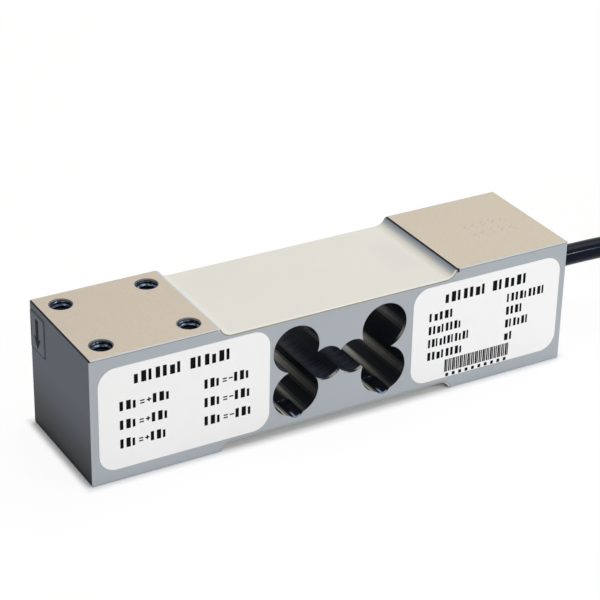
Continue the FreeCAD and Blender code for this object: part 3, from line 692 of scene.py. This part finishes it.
class LookSettings(bpy.types.PropertyGroup):
    """Colours and finishes of the load cell."""

    side_colour: colour_setting("Side", "Drawn sides of the bar", (0.400, 0.430, 0.455))
    # The pad colour is partly painted warm light from above.
    pad_and_warm_light_colour: colour_setting("Pad", "Milled pads", (0.477, 0.420, 0.345))
    # The end colour is painted shade on the end faces.
    shaded_end_colour: colour_setting("End", "Sawn end faces", (0.080, 0.096, 0.122))
    # Painted shade: the holes' walls, deep threads, the floor end of the end faces and dark edge lines.
    painted_shade_colour: colour_setting("Hollow", "Walls of the holes, and oily edges", (0.010, 0.014, 0.022))
    # Painted reflections along the through bores, and painted highlights on their front edges.
    bore_reflection_colour: colour_setting("Streak", "Burnished streaks along the through bores", (0.98, 0.95, 0.84))
    # Painted reflection on the ringed walls of the two middle bores, also used for the threads' painted
    # highlight.
    lobe_reflection_colour: colour_setting("Lobe", "Ringed walls of the two middle bores", (0.050, 0.058, 0.086))
    # Burnished wear with a painted highlight on the broken edges.
    burnish_and_highlight_colour: colour_setting("Burnished Edge", "Broken edges of the bar", (0.46, 0.48, 0.49))
    # Painted glints at the trimming cuts, also used for the threads' painted highlight.
    cut_glint_colour: colour_setting("Fresh Cut", "Rims of the trimming cuts", (0.55, 0.70, 0.95))
    bar_roughness: share_setting("Bar Roughness", "Average roughness of the bar", 0.46)
    bar_metallic: share_setting("Bar Metallic", "How much the bar mirrors its surroundings", 0.4)
    potting_colour: colour_setting("Potting", "Soft potting in the recesses", (0.635, 0.625, 0.575))
    # Painted shade on the potting where it climbs the recess ends.
    rim_shade_colour: colour_setting("Potting Rim", "Potting where it thins out at its ends", (0.30, 0.42, 0.60))
    # Painted brownish shadow on the upper potting's side face.
    potting_side_shadow_colour: colour_setting("Potting Seam", "Edge of the potting at the bar's sides", (0.30, 0.26, 0.20))
    label_colour: colour_setting("Label", "Label film", (0.885, 0.87, 0.862))
    # The arrow film carries the end face's painted shade.
    shaded_arrow_film_colour: colour_setting("Arrow Film", "Film of the arrow label", (0.084, 0.100, 0.126))
    ink_colour: colour_setting("Ink", "Print on the labels", (0.003, 0.003, 0.004))
    ink_depth: length_setting("Ink Depth", "How far the print stands off the film", 0.02 * MM)
    stroke: length_setting("Stroke", "Width of the signs' strokes", 0.39 * MM)
    jacket_colour: colour_setting("Jacket", "Cable jacket", (0.001, 0.004, 0.012))
    jacket_roughness: share_setting("Jacket Roughness", "Gloss of the cable jacket", 0.12)


class ThreadSettings(bpy.types.PropertyGroup):
    """Sizes of the tapped holes' threads."""

    pitch: length_setting("Pitch", "Rise of the thread in one turn", 1.0 * MM)
    depth: length_setting("Depth", "How far the thread goes down the hole", 12.0 * MM)
    crest: length_setting("Crest", "How far the ridges stand out of the wall", 0.48 * MM)


class CableSettings(bpy.types.PropertyGroup):
    """Sizes of the cable, which lies on the block that the frame holds for it."""

    diameter: length_setting("Diameter", "Cable diameter", 6.4 * MM)
    length: length_setting("Length", "Cable length from the bar's end face", 2000.0 * MM)
    fold_radius: length_setting("Fold Radius", "Radius of the hank's inner turns", 19.2 * MM)


class StageSettings(bpy.types.PropertyGroup):
    """Floor, light and camera."""

    floor_colour: colour_setting("Floor", "Floor and backdrop", (0.93, 0.93, 0.93))
    floor_glow: share_setting("Floor Glow", "How much of the shadow the background hides", 0.92)
    contact_width: length_setting("Contact Width", "Width of the dark line round the foot", 3.0 * MM)
    room_light: number_setting("Room Light", "Strength of the even light from all sides", 0.40)
    key_light: power_setting("Key Light", "Power of the large lamp overhead", 6.5)
    front_light: power_setting("Front Light", "Power of the lamp in front", 2.5)
    side_light: power_setting("Side Light", "Power of the small lamp beside it", 1.4)


SETTINGS = {
    "load_cell_look": LookSettings,
    "load_cell_thread": ThreadSettings,
    "load_cell_cable": CableSettings,
    "load_cell_stage": StageSettings,
}


# ---------------- stage

CAMERA_TARGET = Vector((-13.243, -19.05, 40.711)) * MM
CAMERA_AZIMUTH = math.radians(-30.244)
CAMERA_ELEVATION = math.radians(27.876)
CAMERA_ROLL = math.radians(1.263)
CAMERA_DISTANCE = 563.929 * MM
CAMERA_LENS = 126.917
FLOOR_REACH = 6.0  # from the middle of the floor to its edges

# Each lamp's name, the setting of its power, its place, what it points at, its size and its colour;
# lengths are in metres.
LAMPS = (
    ("key_lamp", "key_light", (0.25, 0.10, 0.85), (0, 0, 0.02), (0.9, 0.9), (1.0, 0.97, 0.92)),
    ("front_lamp", "front_light", (0.15, -0.95, 0.45), (0, 0, 0.02), (0.8, 0.6), (0.93, 0.97, 1.0)),
    ("side_lamp", "side_light", (0.64, -0.70, 0.47), (0.09, 0, 0.02), (0.08, 0.10), (0.80, 0.88, 1.0)),
)


def add_lamp(name, location, target, size, power, colour):
    data = bpy.data.lights.new(name, "AREA")
    data.shape = "RECTANGLE"
    data.size, data.size_y = size
    data.energy = power
    data.color = colour
    lamp = bpy.data.objects.new(name, data)
    lamp.location = location
    lamp.rotation_mode = "QUATERNION"
    lamp.rotation_quaternion = (Vector(target) - Vector(location)).to_track_quat("-Z", "Y")
    bpy.context.scene.collection.objects.link(lamp)


class LOADCELL_OT_stage(bpy.types.Operator):
    """Set the camera, the lamps and a plain pale floor"""

    bl_idname = "load_cell.stage"
    bl_label = "Stage"

    def execute(self, context):
        stage = context.scene.load_cell_stage
        self.add_camera(context)
        self.add_room(context, stage)
        self.add_floor(context, stage)
        for name, power, location, target, size, colour in LAMPS:
            add_lamp(name, location, target, size, getattr(stage, power), colour)
        return {"FINISHED"}

    def add_camera(self, context):
        """The camera looks down on the labelled face from the load end's side."""
        camera = bpy.data.objects.new("camera", bpy.data.cameras.new("camera"))
        context.scene.collection.objects.link(camera)
        camera.data.sensor_width = 36.0
        camera.data.lens = CAMERA_LENS
        back = Vector((
            math.sin(CAMERA_AZIMUTH) * math.cos(CAMERA_ELEVATION),
            -math.cos(CAMERA_AZIMUTH) * math.cos(CAMERA_ELEVATION),
            math.sin(CAMERA_ELEVATION),
        ))
        level = (-back).to_track_quat("-Z", "Y").to_matrix()
        camera.matrix_world = (
            Matrix.Translation(CAMERA_TARGET + back * CAMERA_DISTANCE)
            @ level.to_4x4() @ Matrix.Rotation(CAMERA_ROLL, 4, "Z"))
        context.scene.camera = camera
        context.scene.view_settings.view_transform = "Standard"

    def add_room(self, context, stage):
        """Even light, with a white background for the camera and for reflections."""
        world = bpy.data.worlds.new("room")
        world.use_nodes = True
        room = NodeTree(world.node_tree)
        background = room.nodes["Background"]
        background.inputs["Color"].default_value = (1, 1, 1, 1)
        room.feed(background.inputs["Strength"], room.span(room.background_rays(), stage.room_light, 1.0))
        context.scene.world = world

    def add_floor(self, context, stage):
        """A pale floor with a soft shadow, which glows white towards the camera and in reflections, except in a
        strip round the foot where the lamps' shadow shows and the missing glow adds painted shade.
        """
        finish = Finish("floor_paint", roughness=0.9, specular=0.1)
        cloth = finish.grain(0.4, 2.0)
        finish.colour(finish.mix(cloth, stage.floor_colour, shaded(stage.floor_colour, 1.01)))
        spot = Spot(finish)
        away = finish.highest(
            finish.calculate("SUBTRACT", spot.out_x, BAR_HIGH.x),
            finish.calculate("SUBTRACT", spot.out_y, BAR_HIGH.y))
        # No glow within the contact width of the foot: the real shadow, plus painted shade along the footprint.
        hidden = finish.times(finish.band(away, 0.0, stage.contact_width), stage.floor_glow)
        glow = finish.nodes.new("ShaderNodeEmission")
        blend = finish.nodes.new("ShaderNodeMixShader")
        finish.feed(blend.inputs[0], finish.times(finish.background_rays(), hidden))
        finish.feed(blend.inputs[1], finish.shader.outputs[0])
        finish.feed(blend.inputs[2], glow.outputs[0])
        finish.feed(finish.nodes["Material Output"].inputs["Surface"], blend.outputs[0])
        mesh = mesh_from(
            "floor", lambda bm: bmesh.ops.create_grid(bm, x_segments=1, y_segments=1, size=FLOOR_REACH))
        mesh.materials.append(finish.material)
        floor = bpy.data.objects.new("floor", mesh)
        floor.location.z = CAD_BOX[0].z
        context.scene.collection.objects.link(floor)


# ---------------- cable

LEAD_ROUTE = [
    (0.0750, 0.0, 0.0219),
    (0.0940, 0.0, 0.0219),
    (0.1140, 0.0, 0.0210),
    (0.1365, -0.0130, 0.0214),
    (0.1570, -0.0130, 0.0232),
]
HANK_NODES = ("cable_hank", "cable_lead")
OUTER_TURNS = 4
INNER_TURNS = 3
FOLD_STEPS = 6  # corners in each half turn
FOLD_EASE = 7 * MM  # straight stretch before and after a fold
LAST_RUN = (2 * MM, 8 * MM)  # the last two points' places, past the near fold


def hank_points(cable):
    """Corners of the turns: four down the outside of the block, then three up the inside."""
    low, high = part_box("cable_hank")
    thick = cable.diameter
    inner = cable.fold_radius
    outer = inner + thick
    middle_y = (low.y + high.y) / 2
    near_x = low.x + outer + thick / 2
    far_x = high.x - outer - thick / 2
    top = high.z - thick / 2
    bottom = low.z + thick / 2
    levels = [top - k * thick for k in range(OUTER_TURNS)]
    levels += [bottom + k * thick for k in range(INNER_TURNS)]
    radii = [outer] * OUTER_TURNS + [inner] * INNER_TURNS
    corner = 1 / math.cos(math.pi / FOLD_STEPS / 2)
    points = []
    for turn, (level, radius) in enumerate(zip(levels, radii)):
        last = turn == len(levels) - 1
        next_level = top if last else levels[turn + 1]
        next_radius = inner if last else radii[turn + 1]
        points.append((near_x + FOLD_EASE, middle_y - radius, level))
        points.append((far_x - FOLD_EASE, middle_y - radius, level))
        for k in range(FOLD_STEPS):
            angle = (k + 0.5) * math.pi / FOLD_STEPS
            reach = radius * corner
            points.append((far_x + reach * math.sin(angle), middle_y - reach * math.cos(angle), level))
        points.append((far_x - FOLD_EASE, middle_y + radius, level))
        points.append((near_x + FOLD_EASE, middle_y + radius, level))
        for k in range(FOLD_STEPS):
            share = (k + 0.5) / FOLD_STEPS
            angle = share * math.pi
            step = (1 - math.cos(angle)) / 2
            reach = (radius + (next_radius - radius) * step) * corner
            points.append((
                near_x - reach * math.sin(angle),
                middle_y + reach * math.cos(angle),
                level + (next_level - level) * step,
            ))
    points += [(near_x + run, middle_y - inner, top) for run in LAST_RUN]
    return points


class LOADCELL_OT_cable(bpy.types.Operator):
    """Lay the cable from its bush into a tied hank, with its stripped end on top"""

    bl_idname = "load_cell.cable"
    bl_label = "Cable"

    def execute(self, context):
        look = context.scene.load_cell_look
        cable = context.scene.load_cell_cable
        points = LEAD_ROUTE + hank_points(cable)
        curve = bpy.data.curves.new("cable", "CURVE")
        curve.dimensions = "3D"
        spline = curve.splines.new("NURBS")
        spline.points.add(len(points) - 1)
        for knot, point in zip(spline.points, points):
            knot.co = (*point, 1.0)
        spline.order_u = 3
        spline.use_endpoint_u = True
        spline.resolution_u = 6
        curve.bevel_depth = cable.diameter / 2
        curve.bevel_resolution = 5
        curve.use_fill_caps = True
        piece = bpy.data.objects.new("signal_cable", curve)
        context.scene.collection.objects.link(piece)
        curve.materials.append(jacket_finish(look))
        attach(piece, "root")
        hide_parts(*HANK_NODES)
        self.dress_ends(look)
        return {"FINISHED"}

    def dress_ends(self, look):
        """Finishes of the ties, the bush, the sleeve and the stripped cores."""
        paint(moulded_finish("tie_nylon", (0.02, 0.02, 0.02), 0.45), "hank_tie_near", "hank_tie_far")
        paint(moulded_finish("bush_rubber", (0.012, 0.012, 0.013), 0.55), "cable_bush")
        paint(moulded_finish("sleeve_plastic", (0.015, 0.015, 0.016), 0.4), "jacket_sleeve")
        paint(jacket_finish(look), "inner_cable")
        for material in RECORD["materials"]:
            name = material["slot"]
            if name.startswith("core_") and name in frame["nodes"]:
                paint(moulded_finish(name, material["base_color"], 0.35), name)
        paint(tinned_finish(), "drain_wire", "core_tips")


# ---------------- bar


class LOADCELL_OT_bar(bpy.types.Operator):
    """Give the spring element its milled finish"""

    bl_idname = "load_cell.bar"
    bl_label = "Bar"

    def execute(self, context):
        paint(bar_finish(context.scene.load_cell_look), "spring_element")
        return {"FINISHED"}


THREAD_STEPS = 28  # flats in one turn
THREAD_START = 0.7 * MM  # below the pad, where the first turn begins
THREAD_ROOT = 0.05 * MM  # how deep the ridge's foot is let into the wall
FOOT_HALF = 0.46  # half of the foot's width, as a share of the pitch
CREST_HALF = 0.06  # and half of the crest's


def add_thread(bm, centre, out, radius, thread):
    """A V-shaped ridge that winds down a hole, out being the way out of its mouth."""
    side = ALONG_BAR
    other = out.cross(side)
    count = int(thread.depth / thread.pitch * THREAD_STEPS)
    rings = []
    for k in range(count + 1):
        turn = 2 * math.pi * k / THREAD_STEPS
        fade = min(1.0, k / THREAD_STEPS, (count - k) / THREAD_STEPS)
        down = THREAD_START + thread.pitch * k / THREAD_STEPS
        spoke = side * math.cos(turn) + other * math.sin(turn)
        foot = radius + THREAD_ROOT
        crest = radius - thread.crest * fade
        profile = ((foot, -FOOT_HALF), (crest, -CREST_HALF), (crest, CREST_HALF), (foot, FOOT_HALF))
        rings.append([
            bm.verts.new(centre + spoke * reach - out * (down + share * thread.pitch))
            for reach, share in profile])
    for last, ring in zip(rings, rings[1:]):
        for a in range(len(ring)):
            b = (a + 1) % len(ring)
            bm.faces.new((last[a], last[b], ring[b], ring[a]))
    bm.faces.new(rings[0][::-1])
    bm.faces.new(rings[-1])


class LOADCELL_OT_threads(bpy.types.Operator):
    """Cut the thread ridges in the eight tapped holes"""

    bl_idname = "load_cell.threads"
    bl_label = "Threads"

    def execute(self, context):
        thread = context.scene.load_cell_thread
        finish = thread_finish(context.scene.load_cell_look)
        for name in ("load_end_bolts", "fixed_end_bolts"):
            mesh = mesh_from(name, lambda bm: self.fill(bm, MOUNTS[name], thread))
            new_piece(name + "_thread", mesh, finish)
        return {"FINISHED"}

    def fill(self, bm, mount, thread):
        dims = mount["dims"]
        for right in (-0.5, 0.5):
            for back in (-0.5, 0.5):
                offset = Vector((right * dims["spacing_x_mm"], back * dims["spacing_y_mm"], 0)) * MM
                add_thread(bm, Vector(mount["pos_m"]) + offset, Vector(mount["axis"]),
                           dims["hole_r_mm"] * MM, thread)


# ---------------- potting and wiring


class LOADCELL_OT_potting(bpy.types.Operator):
    """Finish the potting and the bonded parts under it"""

    bl_idname = "load_cell.potting"
    bl_label = "Potting and Wiring"

    def execute(self, context):
        paint(potting_finish(context.scene.load_cell_look), "upper_potting", "lower_potting", "bore_sealant")
        paint(foil_finish(), "upper_gauge_load_side", "upper_gauge_fixed_side", "lower_gauge_load_side",
              "lower_gauge_fixed_side", "zero_compensator", "span_compensator")
        board = moulded_finish("board_laminate", (0.05, 0.16, 0.08), 0.4)
        paint(board, "upper_terminal_board", "lower_terminal_board")
        paint(tinned_finish(), "upper_gauge_leads", "lower_gauge_leads", "crossover_wires")
        paint(moulded_finish("core_insulation", (0.35, 0.35, 0.36), 0.4), "inner_cores")
        return {"FINISHED"}


# ---------------- labels

# Sizes of the print are in millimetres, as Print takes them.
WIRING_ROWS = 3
WIRING_ROW_PITCH = 5.7
RATING_ROW_PITCH = 4.15
# Length and blocks of each row's left word, and of its right word.
RATING_ROWS = ((8.6, 5, 13.5, 9), (11.4, 8, 6.2, 4), (14.2, 11, 8.4, 6), (12.3, 8, 3.4, 2))
STRIPES = 34
STRIPE_PITCH = 0.65
STRIPE_WIDTHS = (0.54, 0.36, 0.46, 0.36)
DOTS = 10
DOT_PITCH = 2.2


def print_label(label, film, look, fill):
    """Gives a label its film's finish and the print that fill(bm, look) makes."""
    paint(film, label)
    name = label.replace("label", "print")
    mesh = mesh_from(name, lambda bm: fill(bm, look))
    new_piece(name, mesh, ink_finish(look))


class LOADCELL_OT_wiring_label(bpy.types.Operator):
    """Print the left label: a heading over two columns of three short lines"""

    bl_idname = "load_cell.wiring_label"
    bl_label = "Wiring Label"

    def execute(self, context):
        look = context.scene.load_cell_look
        print_label("wiring_label", label_finish(look), look, self.fill)
        return {"FINISHED"}

    def fill(self, bm, look):
        ink = Print(bm, label_corner("wiring_label"), look)
        ink.word(left=10.3, top=2.7, length=14.6, height=3.3, blocks=7)
        ink.word(left=26.7, top=2.7, length=12.8, height=3.3, blocks=6)
        for row in range(WIRING_ROWS):
            top = 10.4 + WIRING_ROW_PITCH * row
            ink.pair(left=6.0, top=top, length=15.4 - 0.6 * row, height=2.8, plus=True)
            ink.pair(left=30.8, top=top, length=14.2 + 0.4 * row, height=2.8, plus=False)


class LOADCELL_OT_rating_label(bpy.types.Operator):
    """Print the right label: a heading, four lines and a field of stripes"""

    bl_idname = "load_cell.rating_label"
    bl_label = "Rating Label"

    def execute(self, context):
        look = context.scene.load_cell_look
        print_label("rating_label", label_finish(look), look, self.fill)
        return {"FINISHED"}

    def fill(self, bm, look):
        ink = Print(bm, label_corner("rating_label"), look)
        ink.word(left=10.5, top=2.9, length=14.2, height=3.2, blocks=7)
        ink.word(left=26.4, top=2.9, length=12.4, height=3.2, blocks=6)
        for row, (first, first_blocks, second, second_blocks) in enumerate(RATING_ROWS):
            top = 8.3 + RATING_ROW_PITCH * row
            ink.word(left=5.4, top=top, length=first, height=2.6, blocks=first_blocks)
            ink.word(left=31.6, top=top, length=second, height=2.6, blocks=second_blocks)
        self.add_stripes(ink)

    def add_stripes(self, ink):
        """An even field of thick and thin upright stripes with a row of dots under it."""
        for k in range(STRIPES):
            width = STRIPE_WIDTHS[k % len(STRIPE_WIDTHS)]
            ink.bar(left=11.4 + STRIPE_PITCH * k, top=24.4, width=width, height=4.0)
        for k in range(DOTS):
            ink.bar(left=11.9 + DOT_PITCH * k, top=28.95, width=0.95, height=1.05)


ARROW_OUTLINE = (
    (-1.2, -1.7), (-1.2, -7.5), (-2.5, -7.1), (-0.25, -10.9), (2.0, -7.1), (0.7, -7.5), (0.7, -1.7),
)
ARROW_BOX_INSET = 0.3


class LOADCELL_OT_arrow_label(bpy.types.Operator):
    """Print the arrow that shows the load's direction"""

    bl_idname = "load_cell.arrow_label"
    bl_label = "Arrow Label"

    def execute(self, context):
        look = context.scene.load_cell_look
        print_label("arrow_label", arrow_film_finish(look), look, self.fill)
        return {"FINISHED"}

    def fill(self, bm, look):
        low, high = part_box("arrow_label")
        centre = Vector((low.x, (low.y + high.y) / 2, high.z))
        ink = Print(bm, face_plane(centre, -ACROSS_BAR, UP), look)
        ink.shape(ARROW_OUTLINE)
        width = (high.y - low.y) / MM - 2 * ARROW_BOX_INSET
        height = (high.z - low.z) / MM - 2 * ARROW_BOX_INSET
        ink.box(-width / 2, ARROW_BOX_INSET, width, height, stroke=0.2)


MARKS_CORNER = Vector((BAR_HIGH.x - 22 * MM, BAR_HIGH.y, BAR_HIGH.z))
MARK_RADIUS = 0.16 * MM
MARK_HEIGHT = 0.01 * MM
# Spacing of the marks, in millimetres.
MARK_PITCH = (0.55, 1.3)  # within a group, along and across the bar
MARK_SCATTER = 0.5
GROUP_PITCH = 3.1
ROW_PITCH = 5.2
FIRST_ROW = 15.6  # from the pad's far edge


class LOADCELL_OT_marks(bpy.types.Operator):
    """Peen two faint rows of dots into the fixed pad"""

    bl_idname = "load_cell.marks"
    bl_label = "Peened Marks"

    def execute(self, context):
        look = context.scene.load_cell_look
        finish = moulded_finish("peened_dot", shaded(look.pad_and_warm_light_colour, 0.55), 0.5)
        mesh = mesh_from("peened_dots", self.fill)
        new_piece("peened_dots", mesh, finish)
        return {"FINISHED"}

    def fill(self, bm):
        """Flat dots in two rows of five groups, which spell nothing."""
        place = face_plane(MARKS_CORNER, ALONG_BAR, ACROSS_BAR)
        corners = [(MARK_RADIUS * math.cos(a * math.pi / 3), MARK_RADIUS * math.sin(a * math.pi / 3))
                   for a in range(6)]
        for row in range(2):
            for group in range(5):
                for k in range(6):
                    line, column = divmod(k, 3)
                    scatter = MARK_SCATTER * ((7 * k + 3 * group) % 4)
                    u = (GROUP_PITCH * group + MARK_PITCH[0] * column) * MM
                    v = -(FIRST_ROW + ROW_PITCH * row + MARK_PITCH[1] * line + scatter) * MM
                    add_prism(bm, [(u + right, v + up) for right, up in corners], place, MARK_HEIGHT)


# ---------------- add-on


OPERATORS = (
    LOADCELL_OT_stage,
    LOADCELL_OT_cable,
    LOADCELL_OT_bar,
    LOADCELL_OT_threads,
    LOADCELL_OT_potting,
    LOADCELL_OT_wiring_label,
    LOADCELL_OT_rating_label,
    LOADCELL_OT_arrow_label,
    LOADCELL_OT_marks,
)


class LOADCELL_PT_panel(bpy.types.Panel):
    """Lists the load cell's pieces and settings"""

    bl_idname = "LOADCELL_PT_panel"
    bl_label = "Load Cell"
    bl_space_type = "VIEW_3D"
    bl_region_type = "UI"
    bl_category = "Load Cell"

    def draw(self, context):
        for operator in OPERATORS:
            self.layout.operator(operator.bl_idname)
        for name, group in SETTINGS.items():
            box = self.layout.box()
            for setting in group.__annotations__:
                box.prop(getattr(context.scene, name), setting)


def register():
    for group in SETTINGS.values():
        bpy.utils.register_class(group)
    for name, group in SETTINGS.items():
        setattr(bpy.types.Scene, name, bpy.props.PointerProperty(type=group))
    for operator in OPERATORS:
        bpy.utils.register_class(operator)
    bpy.utils.register_class(LOADCELL_PT_panel)


def unregister():
    bpy.utils.unregister_class(LOADCELL_PT_panel)
    for operator in reversed(OPERATORS):
        bpy.utils.unregister_class(operator)
    for name in SETTINGS:
        delattr(bpy.types.Scene, name)
    for group in SETTINGS.values():
        bpy.utils.unregister_class(group)


def main():
    """Builds every piece."""
    register()
    for operator in OPERATORS:
        group, name = operator.bl_idname.split(".")
        getattr(getattr(bpy.ops, group), name)()


if __name__ == "__main__":
    main()
